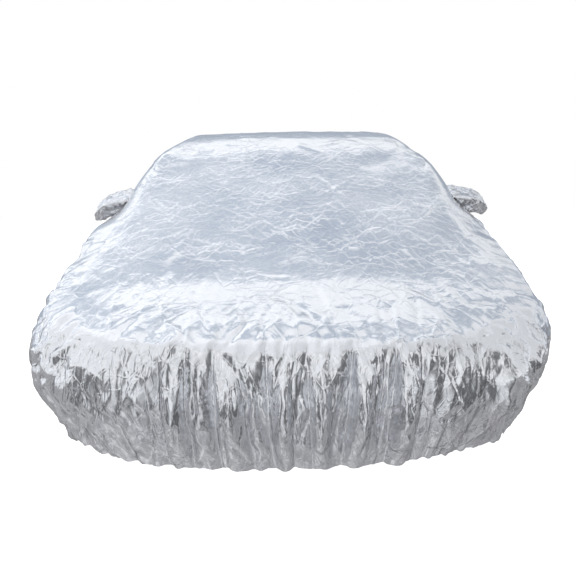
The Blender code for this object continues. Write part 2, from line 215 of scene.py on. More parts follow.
def unfolded(i, j):
    """Places of the grid's crossings before folds; their way round from the nose's middle; their level.

    The level is the share of the drop on the wall.  On top it is below 0, by how far in they lie.
    """
    half_i = COLUMNS_ON_TOP / 2
    half_j = ROWS_ON_TOP / 2
    from_middle_i = i - half_i - ROWS_DOWN_WALL
    from_middle_j = j - half_j - ROWS_DOWN_WALL
    down = np.maximum(np.maximum(np.abs(from_middle_i) - half_i, np.abs(from_middle_j) - half_j), 0)
    drop = down / ROWS_DOWN_WALL
    across = from_middle_i / (half_i + down)
    share = (from_middle_j / (half_j + down) + 1) / 2
    along = through(*np.transpose(ROWS_BACK), share)

    half_width, _ = side_line(drop, along)
    front = front_y(drop, across)
    back = back_y(drop, across)
    y = front * (1 - along) + back * along
    shoulder = 0 * drop
    _, side_y = side_line(shoulder, along)
    top_y = front_y(shoulder, across) * (1 - along) + back_y(shoulder, across) * along
    spread = along_car("spread", side_y) * np.sin(np.pi * across)
    top_z = top_height(across + spread, top_y, side_y)
    x = half_width * (across + spread)

    in_from_edge = np.minimum(np.minimum(y - front, back - y), half_width - np.abs(x)) * (down == 0)
    level = drop - in_from_edge / LEVEL_REACH
    widest = down_wall("half_width", drop)
    over_side = np.where(from_middle_j > 0, 2 * widest - np.abs(x), np.abs(x))
    way_round = over_side + y - in_from_edge - down_wall("nose_y", drop)
    over_shoulder = over_side + down_wall("half_width", shoulder) - widest
    way_at_shoulder = over_shoulder + top_y - in_from_edge - down_wall("nose_y", shoulder)
    upright = smooth_step(*HUNG_STRAIGHT, way_round)
    way_round = np.where(x < 0, -1, 1) * (way_round + (way_at_shoulder - way_round) * upright)
    z = top_z + (hem_height(way_round) - top_z) * drop
    return np.stack((x, y, z), axis=-1), way_round, level


def facing(places):
    """Outward normals of a grid of places."""
    normals = np.cross(np.gradient(places, axis=0), np.gradient(places, axis=1))
    return normals / np.maximum(np.linalg.norm(normals, axis=-1, keepdims=True), 1e-12)


# The gathers, as troughs: each starts in a point near the shoulder, and grows deeper and wider on its
# way down.
FOLD_GROWTH = 0.62  # levels from a fold's tip to its full size
FOLD_TIP = 0.12  # width at the tip, as a share of the full one
FOLD_FADE = 0.2  # levels over which a fold that ends above the hem dies out
FOLD_SPREAD = 1.3
FOLD_STRENGTH = 1.55
FOLD_SHARPNESS = 1.15  # 2 is a round trough, 1 a sharp one
NEAR_HEM = (0.7, 1.0)  # levels over which the elastic flattens the folds
HEM_FLATTENS = 0.5
Fold = namedtuple("Fold", "top hem depth width start end skew", defaults=(0,))
FRONT_FOLDS = (  # top and hem: way round at the shoulder and at the hem; start and end: levels
    Fold(top=-1.100, hem=-0.880, depth=0.030, width=0.060, start=0.25, end=2, skew=0.3),
    Fold(top=-0.940, hem=-0.700, depth=0.022, width=0.045, start=0.20, end=2, skew=-0.4),
    Fold(top=-0.620, hem=-0.580, depth=0.020, width=0.040, start=0.50, end=2, skew=0.5),
    Fold(top=-0.425, hem=-0.430, depth=0.034, width=0.030, start=0.00, end=2, skew=-0.5),
    Fold(top=-0.362, hem=-0.358, depth=0.010, width=0.012, start=-0.02, end=0.5, skew=0),
    Fold(top=-0.340, hem=-0.330, depth=0.030, width=0.024, start=-0.16, end=2, skew=0.6),
    Fold(top=-0.302, hem=-0.296, depth=0.012, width=0.010, start=0.02, end=0.6, skew=0),
    Fold(top=-0.240, hem=-0.225, depth=0.040, width=0.026, start=-0.10, end=2, skew=-0.6),
    Fold(top=-0.196, hem=-0.128, depth=0.014, width=0.014, start=0.06, end=0.7, skew=0.4),
    Fold(top=-0.160, hem=-0.115, depth=0.026, width=0.022, start=-0.02, end=2, skew=0.5),
    Fold(top=-0.110, hem=-0.150, depth=0.016, width=0.012, start=0.10, end=0.62, skew=-0.3),
    Fold(top=-0.072, hem=-0.045, depth=0.042, width=0.026, start=-0.18, end=2, skew=-0.6),
    Fold(top=-0.030, hem=-0.060, depth=0.016, width=0.012, start=0.02, end=0.55, skew=0.3),
    Fold(top=0.000, hem=0.012, depth=0.024, width=0.018, start=-0.04, end=2, skew=0.6),
    Fold(top=0.055, hem=0.070, depth=0.032, width=0.020, start=-0.14, end=2, skew=-0.6),
    Fold(top=0.084, hem=0.100, depth=0.014, width=0.010, start=0.00, end=0.7, skew=0),
    Fold(top=0.124, hem=0.122, depth=0.026, width=0.020, start=-0.02, end=2, skew=0.5),
    Fold(top=0.200, hem=0.165, depth=0.052, width=0.026, start=-0.18, end=2, skew=-0.6),
    Fold(top=0.232, hem=0.262, depth=0.018, width=0.013, start=0.08, end=0.75, skew=0.4),
    Fold(top=0.275, hem=0.240, depth=0.028, width=0.024, start=-0.06, end=2, skew=0.6),
    Fold(top=0.304, hem=0.288, depth=0.016, width=0.011, start=0.00, end=2, skew=-0.4),
    Fold(top=0.350, hem=0.315, depth=0.048, width=0.024, start=-0.15, end=2, skew=-0.6),
    Fold(top=0.392, hem=0.372, depth=0.014, width=0.012, start=0.05, end=0.6, skew=0.3),
    Fold(top=0.435, hem=0.420, depth=0.034, width=0.026, start=-0.06, end=2, skew=0.5),
    Fold(top=0.500, hem=0.480, depth=0.016, width=0.020, start=0.20, end=2, skew=-0.5),
    Fold(top=0.560, hem=0.520, depth=0.022, width=0.036, start=0.45, end=2, skew=0.4),
    Fold(top=0.690, hem=0.640, depth=0.022, width=0.036, start=0.40, end=2, skew=-0.3),
    Fold(top=0.950, hem=0.770, depth=0.024, width=0.042, start=0.20, end=2, skew=0.5),
    Fold(top=1.140, hem=0.940, depth=0.030, width=0.056, start=0.16, end=2, skew=-0.4),
    Fold(top=1.250, hem=1.150, depth=0.020, width=0.300, start=0.05, end=2, skew=0),
)
PLAIN_FOLDS = 64  # gathers of the sides and the rear, on each side
PLAIN_FOLDS_FROM = 1.25
PLAIN_FOLDS_TO = 6.38
FINE_FOLDS = 90  # small gathers that the elastic draws at the front's hem
FINE_FOLDS_TO = 1.35

sewing_chance = np.random.RandomState(11)


def plain_folds():
    pitch = (PLAIN_FOLDS_TO - PLAIN_FOLDS_FROM) / PLAIN_FOLDS
    for side in (-1, 1):
        for k in range(PLAIN_FOLDS):
            top = PLAIN_FOLDS_FROM + pitch * (k + sewing_chance.uniform(0.1, 0.9))
            yield Fold(
                top=side * top,
                hem=side * (top + sewing_chance.uniform(-0.06, 0.06)),
                depth=sewing_chance.uniform(0.006, 0.024),
                width=sewing_chance.uniform(0.030, 0.060),
                start=sewing_chance.uniform(-0.30, 0.60),
                end=2,
                skew=sewing_chance.uniform(-0.6, 0.6),
            )


def fine_folds():
    for _ in range(FINE_FOLDS):
        top = sewing_chance.uniform(-FINE_FOLDS_TO, FINE_FOLDS_TO)
        start = sewing_chance.uniform(-0.06, 0.75)
        yield Fold(
            top=top,
            hem=top + sewing_chance.uniform(-0.09, 0.09),
            depth=sewing_chance.uniform(0.003, 0.010),
            width=sewing_chance.uniform(0.006, 0.013),
            start=start,
            end=start + sewing_chance.uniform(0.35, 1.2),
        )


def fold_depth(way_round, level):
    depth = np.zeros_like(way_round)
    flattened = 1 - HEM_FLATTENS * smooth_step(*NEAR_HEM, level)
    for fold in (*FRONT_FOLDS, *plain_folds(), *fine_folds()):
        middle = fold.top + (fold.hem - fold.top) * np.maximum(level, 0)
        grown = smooth_step(fold.start, fold.start + FOLD_GROWTH, level)
        left = flattened * (1 - smooth_step(fold.end - FOLD_FADE, fold.end, level))
        side = np.where(way_round > middle, 1 + fold.skew, 1 - fold.skew)
        flank = FOLD_SPREAD * fold.width * (FOLD_TIP + (1 - FOLD_TIP) * grown) * side
        off = np.abs(way_round - middle) / flank
        depth += FOLD_STRENGTH * fold.depth * grown * left * np.exp(-(off**FOLD_SHARPNESS))
    return depth


# Creases that show one by one, as a viewer in front sees them against the plane of the nose: x and z of
# both ends, the height (below 0 for a trough) and the width.
Crease = namedtuple("Crease", "x z end_x end_z height width")
CREASES = (
    # gathers of the nose
    Crease(-0.360, -0.880, -0.365, -0.985, -0.0100, 0.009),
    Crease(-0.255, -0.900, -0.245, -1.030, -0.0050, 0.005),
    Crease(-0.225, -0.870, -0.210, -0.970, 0.0050, 0.006),
    Crease(-0.180, -0.880, -0.195, -1.030, -0.0060, 0.006),
    Crease(-0.240, -1.010, -0.225, -1.150, -0.0090, 0.007),
    Crease(-0.220, -1.030, -0.190, -1.095, -0.0080, 0.007),
    Crease(-0.190, -1.095, -0.125, -1.200, -0.0100, 0.008),
    Crease(-0.190, -1.095, -0.190, -1.195, -0.0070, 0.007),
    Crease(-0.075, -0.845, -0.050, -0.910, -0.0080, 0.007),
    Crease(-0.175, -0.885, -0.115, -1.045, -0.0100, 0.010),
    Crease(-0.155, -0.880, -0.100, -1.035, 0.0060, 0.007),
    Crease(-0.005, -0.845, -0.025, -0.910, -0.0080, 0.007),
    Crease(-0.025, -0.910, -0.070, -1.050, -0.0100, 0.008),
    Crease(-0.070, -1.050, -0.055, -1.200, -0.0090, 0.008),
    Crease(0.055, -0.845, 0.030, -0.945, -0.0080, 0.005),
    Crease(0.030, -0.945, 0.020, -1.075, -0.0080, 0.006),
    Crease(0.080, -0.890, 0.075, -1.020, -0.0080, 0.006),
    Crease(0.075, -1.020, 0.025, -1.130, -0.0080, 0.007),
    Crease(0.125, -0.850, 0.110, -0.930, -0.0080, 0.006),
    Crease(0.110, -0.930, 0.095, -1.035, -0.0080, 0.007),
    Crease(0.125, -0.850, 0.140, -1.005, -0.0060, 0.006),
    Crease(0.195, -0.860, 0.185, -0.920, -0.0100, 0.007),
    Crease(0.185, -0.920, 0.155, -1.000, -0.0140, 0.008),
    Crease(0.155, -1.000, 0.125, -1.180, -0.0140, 0.009),
    Crease(0.185, -0.950, 0.225, -1.095, -0.0080, 0.008),
    Crease(0.265, -0.870, 0.205, -0.915, 0.0050, 0.006),
    Crease(0.285, -0.875, 0.270, -1.065, -0.0090, 0.008),
    Crease(0.270, -1.065, 0.270, -1.170, -0.0080, 0.008),
    Crease(0.320, -0.905, 0.295, -1.070, -0.0080, 0.005),
    Crease(0.295, -1.070, 0.290, -1.180, -0.0080, 0.005),
    Crease(0.335, -0.865, 0.385, -0.990, 0.0070, 0.006),
    Crease(0.430, -0.835, 0.385, -0.990, 0.0070, 0.006),
    Crease(0.385, -0.995, 0.365, -1.155, 0.0070, 0.007),
    Crease(0.455, -0.895, 0.445, -1.160, -0.0080, 0.008),
    Crease(0.305, -1.035, 0.330, -1.010, 0.0030, 0.003),
    Crease(0.395, -1.005, 0.435, -0.995, 0.0030, 0.003),
    Crease(-0.320, -1.035, -0.255, -1.010, 0.0040, 0.004),
    Crease(-0.180, -1.020, -0.135, -1.035, 0.0040, 0.004),
    Crease(-0.385, -1.055, -0.325, -1.065, 0.0050, 0.004),
    Crease(-0.320, -1.070, -0.275, -1.175, -0.0080, 0.008),
    Crease(0.135, -1.180, 0.175, -1.105, 0.0060, 0.005),
    # left corner, round the headlamp
    Crease(-0.660, -0.825, -0.515, -0.840, 0.0050, 0.006),
    Crease(-0.515, -0.840, -0.460, -0.850, 0.0050, 0.006),
    Crease(-0.460, -0.850, -0.435, -0.915, 0.0050, 0.005),
    Crease(-0.435, -0.915, -0.420, -1.045, 0.0050, 0.005),
    Crease(-0.635, -0.880, -0.545, -0.950, 0.0070, 0.022),
    Crease(-0.690, -0.945, -0.630, -1.015, 0.0060, 0.016),
    Crease(-0.750, -0.925, -0.695, -0.935, -0.0080, 0.006),
    Crease(-0.715, -0.865, -0.670, -0.930, -0.0120, 0.010),
    Crease(-0.750, -0.830, -0.680, -0.810, -0.0060, 0.006),
    Crease(-0.480, -0.615, -0.535, -0.825, 0.0040, 0.006),
    Crease(-0.520, -0.825, -0.525, -0.980, 0.0050, 0.005),
    Crease(-0.445, -0.920, -0.520, -1.080, 0.0090, 0.006),
    Crease(-0.480, -0.965, -0.425, -1.045, 0.0080, 0.006),
    Crease(-0.525, -1.095, -0.460, -1.170, 0.0070, 0.007),
    Crease(-0.610, -1.010, -0.605, -1.100, -0.0070, 0.006),
    Crease(-0.605, -1.010, -0.525, -1.070, 0.0060, 0.005),
    Crease(-0.430, -0.945, -0.420, -1.045, -0.0140, 0.008),
    Crease(-0.420, -1.045, -0.410, -1.185, -0.0160, 0.009),
    Crease(-0.360, -0.880, -0.310, -0.845, -0.0060, 0.006),
    Crease(-0.410, -0.830, -0.430, -0.945, -0.0060, 0.004),
    Crease(-0.405, -1.050, -0.375, -1.070, 0.0050, 0.004),
    Crease(-0.375, -1.045, -0.350, -1.070, -0.0050, 0.004),
    Crease(-0.355, -1.070, -0.315, -1.050, 0.0050, 0.004),
    Crease(-0.400, -1.115, -0.350, -1.155, 0.0070, 0.010),
    Crease(-0.730, -0.750, -0.695, -0.770, -0.0050, 0.004),
    # right corner, round the headlamp
    Crease(0.460, -0.890, 0.485, -0.845, 0.0050, 0.006),
    Crease(0.485, -0.845, 0.545, -0.830, 0.0050, 0.006),
    Crease(0.545, -0.830, 0.660, -0.820, 0.0050, 0.006),
    Crease(0.645, -0.835, 0.685, -0.865, -0.0070, 0.005),
    Crease(0.675, -0.830, 0.705, -0.885, 0.0070, 0.005),
    Crease(0.655, -0.880, 0.695, -0.850, -0.0070, 0.005),
    Crease(0.705, -0.860, 0.735, -1.005, -0.0220, 0.014),
    Crease(0.605, -0.695, 0.665, -0.805, 0.0050, 0.006),
    Crease(0.545, -0.865, 0.535, -0.980, -0.0070, 0.007),
    Crease(0.590, -0.865, 0.585, -0.990, -0.0070, 0.007),
    Crease(0.470, -0.995, 0.505, -1.025, 0.0050, 0.004),
    Crease(0.495, -0.985, 0.535, -1.015, -0.0050, 0.004),
    Crease(0.475, -1.030, 0.530, -1.000, 0.0050, 0.004),
    Crease(0.580, -1.000, 0.585, -1.055, 0.0050, 0.006),
    Crease(0.605, -0.965, 0.690, -0.925, 0.0070, 0.008),
    Crease(0.470, -1.045, 0.455, -1.135, -0.0080, 0.007),
    Crease(0.525, -1.025, 0.495, -1.150, 0.0070, 0.007),
    Crease(0.400, -1.070, 0.430, -1.045, 0.0040, 0.004),
    Crease(0.430, -1.045, 0.435, -1.070, 0.0040, 0.004),
    Crease(0.630, -0.995, 0.605, -1.125, 0.0060, 0.005),
    # bonnet
    Crease(0.440, -0.730, 0.475, -0.860, 0.0050, 0.006),
    Crease(0.435, -0.765, 0.395, -0.930, 0.0050, 0.006),
    Crease(0.395, -0.930, 0.385, -0.990, 0.0050, 0.006),
    Crease(0.475, -0.670, 0.520, -0.720, -0.0040, 0.005),
    Crease(0.520, -0.720, 0.600, -0.730, -0.0040, 0.004),
    Crease(0.360, -0.680, 0.425, -0.720, 0.0030, 0.004),
    Crease(-0.280, -0.725, -0.305, -0.845, 0.0040, 0.005),
    Crease(-0.280, -0.725, -0.235, -0.805, 0.0040, 0.005),
    Crease(-0.370, -0.755, -0.310, -0.810, 0.0040, 0.005),
    Crease(-0.195, -0.855, -0.110, -0.755, -0.0050, 0.006),
    Crease(0.050, -0.605, 0.155, -0.840, -0.0016, 0.005),
    Crease(0.080, -0.615, 0.180, -0.865, 0.0012, 0.005),
    Crease(-0.070, -0.640, 0.000, -0.640, 0.0030, 0.002),
    Crease(0.260, -0.715, 0.290, -0.860, -0.0040, 0.006),
    Crease(0.310, -0.725, 0.330, -0.855, 0.0040, 0.005),
    Crease(0.370, -0.705, 0.380, -0.820, -0.0040, 0.005),
    Crease(0.340, -0.665, 0.435, -0.715, -0.0040, 0.004),
    Crease(0.435, -0.715, 0.470, -0.845, -0.0040, 0.006),
    Crease(0.340, -0.825, 0.385, -0.865, -0.0050, 0.008),
    # windscreen and the roof's front edge
    Crease(-0.385, -0.320, 0.015, -0.260, 0.0015, 0.005),
    Crease(0.030, -0.260, 0.105, -0.285, 0.0040, 0.003),
    Crease(0.330, -0.280, 0.390, -0.305, 0.0040, 0.003),
    Crease(-0.405, -0.285, -0.375, -0.335, -0.0080, 0.005),
    Crease(-0.390, -0.270, -0.365, -0.325, 0.0060, 0.004),
    Crease(0.400, -0.295, 0.390, -0.335, -0.0060, 0.004),
    Crease(0.085, -0.355, 0.175, -0.420, 0.0025, 0.003),
    Crease(0.125, -0.350, 0.135, -0.435, -0.0025, 0.003),
    Crease(0.090, -0.410, 0.170, -0.370, 0.0025, 0.003),
    Crease(0.385, -0.470, 0.440, -0.415, 0.0040, 0.004),
    Crease(-0.410, -0.395, -0.330, -0.460, 0.0030, 0.004),
    Crease(0.135, -0.465, 0.200, -0.555, 0.0025, 0.004),
    Crease(0.305, -0.470, 0.340, -0.565, 0.0025, 0.004),
)
VIEWED_FROM = np.array((0.021, -4.907, -0.427))  # the camera's place
NOSE_PLANE = -2.60  # y
CREASES_FADE = (0.15, 0.35)  # y
TURNED_AWAY = (0.0, 0.15)  # metres from the viewer to the cloth's own plane, over which creases fade in
CREASE_ENDS = 0.05  # a crease runs on past its ends by this share of its length
CREASE_TAPER = 0.6  # power of the height along a crease; the smaller, the blunter its ends


def crease_height(places, normals):
    off_eye = places - ROOF_REST - VIEWED_FROM
    to_nose_plane = (NOSE_PLANE - VIEWED_FROM[1]) / off_eye[..., 1]
    seen = VIEWED_FROM + off_eye * to_nose_plane[..., None]
    in_view = smooth_step(*TURNED_AWAY, -(off_eye * normals).sum(-1))
    in_front = 1 - smooth_step(*CREASES_FADE, places[..., 1] - ROOF_REST[1])
    height = np.zeros(places.shape[:-1])
    for crease in CREASES:
        run = np.array((crease.end_x - crease.x, crease.end_z - crease.z))
        length = np.linalg.norm(run)
        run = run / length
        from_x = seen[..., 0] - crease.x
        from_z = seen[..., 2] - crease.z
        share = (from_x * run[0] + from_z * run[1]) / length
        off = np.abs(from_x * run[1] - from_z * run[0]) / crease.width
        arch = 4 * (share + CREASE_ENDS) * (1 + CREASE_ENDS - share)
        taper = np.clip(arch, 0, 1) ** CREASE_TAPER
        height += crease.height * taper * np.exp(-(off**FOLD_SHARPNESS))
    return height * in_view * in_front


# The crumples of a cover that is packed in a bag: straight little ridges and troughs with flat flanks.
# A stretch begins and ends by its y on top, and by its way round on the wall.  Lean is the largest angle
# off the way down or back, and wall_from is the level at which the wall begins.
Crumpling = namedtuple(
    "Crumpling", "number on_wall begin end length width height lean wall_from", defaults=(0,)
)
CRUMPLINGS = (
    Crumpling(70, False, 0.02, 1.05, (0.20, 0.60), (0.014, 0.040), (0.0005, 0.0016), 0.35),
    Crumpling(110, False, 0.00, 0.34, (0.12, 0.36), (0.012, 0.040), (0.0008, 0.0032), 0.40),
    Crumpling(260, False, 0.10, 1.10, (0.05, 0.24), (0.014, 0.034), (0.0002, 0.0008), 1.57),
    Crumpling(420, False, 1.00, 2.60, (0.06, 0.34), (0.014, 0.030), (0.0001, 0.0004), 1.57),
    Crumpling(150, False, 2.10, 2.80, (0.06, 0.26), (0.014, 0.036), (0.0008, 0.0028), 1.57),
    Crumpling(220, False, 2.50, 4.62, (0.12, 0.50), (0.035, 0.070), (0.0010, 0.0036), 1.57),
    Crumpling(560, True, -1.10, 1.10, (0.04, 0.18), (0.012, 0.026), (0.0014, 0.0050), 0.80),
    Crumpling(200, True, -1.70, -0.70, (0.05, 0.22), (0.016, 0.040), (0.0020, 0.0066), 1.57),
    Crumpling(200, True, 0.70, 1.70, (0.05, 0.22), (0.016, 0.040), (0.0020, 0.0066), 1.57),
    Crumpling(110, True, -2.70, -1.30, (0.08, 0.34), (0.035, 0.070), (0.0015, 0.0055), 1.57, -0.2),
    Crumpling(320, True, -6.40, -2.70, (0.08, 0.34), (0.035, 0.070), (0.0015, 0.0055), 1.57, -0.9),
    Crumpling(110, True, 1.30, 2.70, (0.08, 0.34), (0.035, 0.070), (0.0015, 0.0055), 1.57, -0.2),
    Crumpling(320, True, 2.70, 6.40, (0.08, 0.34), (0.035, 0.070), (0.0015, 0.0055), 1.57, -0.9),
)
DOWN = np.array((0, 0, -1.0))
GRID_STEP = 0.006  # about the smallest size of a grid cell
CRUMPLE_REACH = 0.6  # lengths of a crumple that are worked out to each side of its middle
CRUMPLE_BEND = 0.2
SAME_LAYER = 0.08  # cloth further off than this from a crumple's plane is left alone


def crumple_height(places, normals, way_round, level):
    chance = np.random.RandomState(23)
    down_or_back = np.gradient(places, axis=1)
    across = np.gradient(places, axis=0)
    cell = np.linalg.norm(np.cross(down_or_back, across), axis=-1)
    width_way = across / np.linalg.norm(across, axis=-1, keepdims=True)
    long_way = np.cross(normals, width_way)
    height = np.zeros(way_round.shape)
    for crumpling in CRUMPLINGS:
        at = way_round if crumpling.on_wall else places[..., 1]
        on_stretch = (at > crumpling.begin) & (at < crumpling.end)
        inside = on_stretch & ((level > crumpling.wall_from) == crumpling.on_wall)
        odds = (cell * inside).ravel()
        picks = chance.choice(odds.size, crumpling.number, p=odds / odds.sum())
        for column_at, row_at in zip(*np.unravel_index(picks, inside.shape)):
            length = chance.uniform(*crumpling.length)
            width = chance.uniform(*crumpling.width, 2)
            reach = round(CRUMPLE_REACH * length / GRID_STEP)
            window = (
                slice(max(column_at - reach, 0), column_at + reach + 1),
                slice(max(row_at - reach, 0), row_at + reach + 1),
            )
            lengthways = DOWN if crumpling.on_wall else long_way[column_at, row_at]
            lean = chance.uniform(-crumpling.lean, crumpling.lean)
            normal = normals[column_at, row_at]
            sideways = np.cross(normal, lengthways)
            run = math.cos(lean) * lengthways + math.sin(lean) * sideways
            beside = np.cross(normal, run)
            off = places[window] - places[column_at, row_at]
            share = 2 * off @ run / length
            aside = off @ beside + chance.uniform(-0.5, 0.5) * length * CRUMPLE_BEND * share**2
            slope = np.where(aside > 0, width[0], width[1])
            near = np.abs(off @ normal) <= SAME_LAYER
            ridge = np.clip(1 - np.abs(aside) / slope, 0, 1) * np.clip(1 - share**2, 0, 1) * near
            height[window] += chance.choice((-1, 1)) * chance.uniform(*crumpling.height) * ridge
    return height


def running_mean(values, reach):
    """Mean over the columns within reach on both sides."""
    padded = np.pad(values, ((reach + 1, reach), (0, 0)), mode="edge")
    total = np.cumsum(padded, axis=0)
    return (total[2 * reach + 1 :] - total[: -2 * reach - 1]) / (2 * reach + 1)


FLAT_ROUND_SEAM = (0.04, 0.14)  # distance from a mirror pocket over which the relief comes back
PULLED_LEVEL = (0.4, 0.9)  # levels over which a fold's direction turns from the normal to level
WALL_BEGINS = (-0.10, 0.10)  # levels over which the cloth's finer crumples grow coarse
SIDES_BEGIN = (1.0, 1.7)  # way round over which they grow weaker again
CALMER_SIDES = 0.65  # share by which they do
RIDGES_END = (0.85, 1.15)  # way round at which ridges no longer stand out between the troughs
MEAN_REACH = 18  # columns; troughs go in and ridges out from the mean over these

i, j = np.meshgrid(
    np.arange(COLUMNS_ON_TOP + 2 * ROWS_DOWN_WALL + 1.0),
    np.arange(ROWS_ON_TOP + 2 * ROWS_DOWN_WALL + 1.0),
    indexing="ij",
)
places, way_round, level = unfolded(i, j)
normals = facing(places)
relief = crease_height(places, normals) + crumple_height(places, normals, way_round, level)
for pocket in ("mirror_pocket_left", "mirror_pocket_right"):
    low, high = np.array(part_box(pocket)) + ROOF_REST
    off = np.maximum(np.maximum(low - places, places - high), 0)
    relief *= smooth_step(*FLAT_ROUND_SEAM, np.linalg.norm(off, axis=-1))
gathers = fold_depth(way_round, level)
at_front = 1 - smooth_step(*RIDGES_END, np.abs(way_round))
gathers = gathers - at_front * running_mean(gathers, MEAN_REACH)
drawn_in = normals.copy()
drawn_in[..., 2] *= 1 - smooth_step(*PULLED_LEVEL, level)
places = places + normals * relief[..., None] - drawn_in * gathers[..., None]
on_wall = smooth_step(*WALL_BEGINS, level)
coarse = on_wall * (1 - CALMER_SIDES * smooth_step(*SIDES_BEGIN, np.abs(way_round)))

body = bmesh.new()
bmesh.ops.create_grid(body, x_segments=i.shape[0] - 1, y_segments=i.shape[1] - 1, size=1.0)
coarseness = []
for vertex in body.verts:
    at_i = round((vertex.co.x + 1) / 2 * (i.shape[0] - 1))
    at_j = round((vertex.co.y + 1) / 2 * (i.shape[1] - 1))
    vertex.co = places[at_i, at_j] - ROOF_REST
    coarseness.append(coarse[at_i, at_j])
cover_mesh = bpy.data.meshes.new("cover")
body.to_mesh(cover_mesh)
body.free()
cover_mesh.attributes.new("coarse", "FLOAT", "POINT").data.foreach_set("value", coarseness)
cover_mesh.shade_smooth()
cover = bpy.data.objects.new("cover", cover_mesh)
bpy.context.collection.objects.link(cover)


class Wire:
    """A value in a tree of shader nodes.  Python's sums and products of it add Math nodes."""

    def __init__(self, tree, socket=None):
        self.tree = tree
        self.socket = socket

    def node(self, kind, settings=None, sockets=None, out=0):
        node = self.tree.nodes.new(kind)
        for name, value in (settings or {}).items():
            if name == "stops":
                ramp = node.color_ramp.elements
                while len(ramp) < len(value):
                    ramp.new(0.5)
                for stop, (position, colour) in zip(ramp, value):
                    stop.position = position
                    stop.color = (*colour, 1)
            else:
                setattr(node, name, value)
        for name, value in (sockets or {}).items():
            if isinstance(value, Wire):
                self.tree.links.new(value.socket, node.inputs[name])
            else:
                node.inputs[name].default_value = value
        return Wire(self.tree, node.outputs[out])

    def math(self, operation, first, second):
        return self.node("ShaderNodeMath", {"operation": operation}, {0: first, 1: second})

    def __add__(self, other):
        return self.math("ADD", self, other)

    __radd__ = __add__

    def __sub__(self, other):
        return self.math("SUBTRACT", self, other)

    def __rsub__(self, other):
        return self.math("SUBTRACT", other, self)

    def __mul__(self, other):
        return self.math("MULTIPLY", self, other)

    __rmul__ = __mul__

    def __truediv__(self, other):
        return self.math("DIVIDE", self, other)


SILVER = (0.84, 0.85, 0.87)
SILVER_WORN = (0.74, 0.75, 0.78)
METALLIC = 0.85
SMOOTHEST = 0.11
ROUGHER_IN_PATCHES = 0.12
DRAWN_OUT = (1.0, 0.42, 0.60)  # the finest creases are longer along the car and down the wall
HANGING = (1.0, 1.0, 0.16)
CLUSTERING = 2.2  # the fine creases come close together, with calmer cloth between

silver_cloth = bpy.data.materials.new("silver_cloth")
silver_cloth.use_nodes = True
nodes = Wire(silver_cloth.node_tree)
shader = silver_cloth.node_tree.nodes["Principled BSDF"]
where = nodes.node("ShaderNodeTexCoord", out=3)
drawn_out = nodes.node("ShaderNodeMapping", {}, {"Vector": where, "Scale": DRAWN_OUT})
wander = nodes.node("ShaderNodeTexNoise", {}, {"Vector": drawn_out, "Scale": 6.0, "Detail": 3.0}, out=1)


def bent(share):
    """The place on the cloth, moved by noise so that straight lines wander."""
    return nodes.node(
        "ShaderNodeMix", {"data_type": "VECTOR"}, {"Factor": share, 4: drawn_out, 5: wander}, out=1
    )


def from_border(scale, wandering, reach):
    """Distance to the borders of a net of cells, growing from 0 to 1 over its reach."""
    distance = nodes.node(
        "ShaderNodeTexVoronoi", {"feature": "DISTANCE_TO_EDGE"}, {"Vector": bent(wandering), "Scale": scale}
    )
    return nodes.node("ShaderNodeMapRange", {}, {"Value": distance, "From Max": reach})


def pillows(scale):
    """Soft little cushions with sharp valleys between them."""
    return from_border(scale, 0.10, 0.30)


def creases(scale):
    """Thin straight ridges with flat cloth between them."""
    return 1 - from_border(scale, 0.05, 0.07)


def facets(scale):
    """Flat little faces, each with a tilt of its own."""
    place = bent(0.03)
    cell = {"Vector": place, "Scale": scale}
    tilt = nodes.node("ShaderNodeTexVoronoi", {}, cell, out=1)
    middle = nodes.node("ShaderNodeTexVoronoi", {}, cell, out=2)
    off = nodes.node("ShaderNodeVectorMath", {"operation": "SUBTRACT"}, {0: place, 1: middle})
    even = nodes.node("ShaderNodeVectorMath", {"operation": "SUBTRACT"}, {0: tilt, 1: (0.5, 0.5, 0.5)})
    return nodes.node("ShaderNodeVectorMath", {"operation": "DOT_PRODUCT"}, {0: off, 1: even}, out=1)


def ridged(place, scale, detail, roughness, gain):
    return nodes.node(
        "ShaderNodeTexNoise",
        {"noise_type": "RIDGED_MULTIFRACTAL"},
        {
            "Vector": place,
            "Scale": scale,
            "Detail": detail,
            "Roughness": roughness,
            "Offset": 0.9,
            "Gain": gain,
        },
    )


def hairs(scale):
    """Thin wandering creases."""
    return ridged(bent(0.10), scale, detail=2.0, roughness=0.55, gain=1.6)


def streaks(scale):
    """Long faint folds that hang down the wall."""
    hanging = nodes.node("ShaderNodeMapping", {}, {"Vector": where, "Scale": HANGING})
    return ridged(hanging, scale, detail=2.5, roughness=0.6, gain=1.5)


